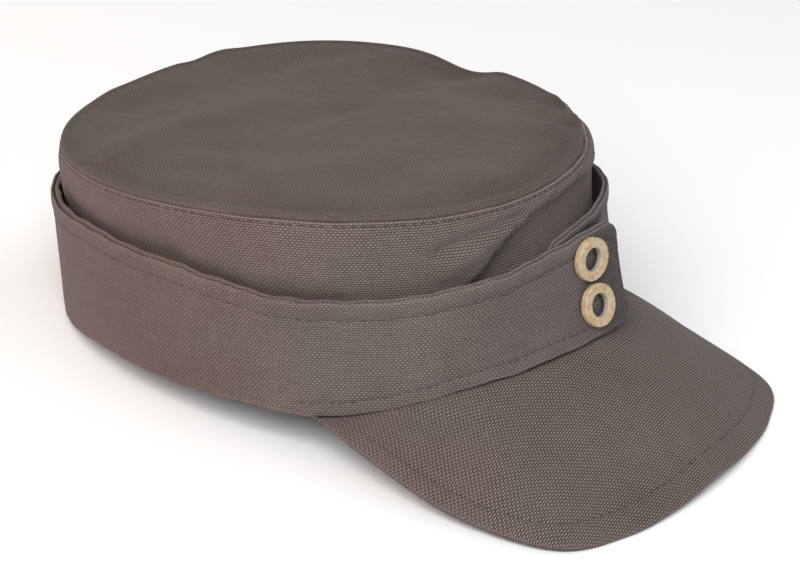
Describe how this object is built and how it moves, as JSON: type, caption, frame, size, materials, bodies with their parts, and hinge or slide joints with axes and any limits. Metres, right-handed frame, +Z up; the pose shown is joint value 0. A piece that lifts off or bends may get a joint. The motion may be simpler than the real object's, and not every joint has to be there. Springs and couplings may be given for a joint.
{
  "type": "cloth peaked field cap",
  "caption": "Soft cloth cap with an oval flat crown, a turned-up flap lapped at the front under ring buttons, and a short arched peak.",
  "frame": {"origin": "Centre of the cap's bounding box on the table that the cap rests on.", "axes": "+X to the front of the cap (the peak), +Y to the wearer's left, +Z up from the table. The cap lies as it rests by itself, nose up by about eight degrees, on the back of its rim and the two corners of its peak."},
  "size_m": [0.2638, 0.1776, 0.0883],
  "materials": {
    "crown_cloth": "coarse plain-weave cotton canvas, brown-grey, matt",
    "top_cloth": "coarse plain-weave cotton canvas, brown-grey, matt",
    "flap_cloth": "coarse plain-weave cotton canvas, brown-grey, matt, two layers with stitched edges",
    "peak_cloth": "coarse plain-weave cotton canvas drawn over a stiff peak, matt",
    "ring_button": "pale turned wood, lightly polished",
    "sewing_thread": "dark waxed sewing thread"
  },
  "bodies": {
    "root": {"crown_wall": "crown_cloth", "crown_top": "top_cloth", "flap": "flap_cloth", "peak": "peak_cloth", "button_upper": "ring_button", "button_lower": "ring_button", "thread_upper": "sewing_thread", "thread_lower": "sewing_thread"}
  },
  "joints": []
}
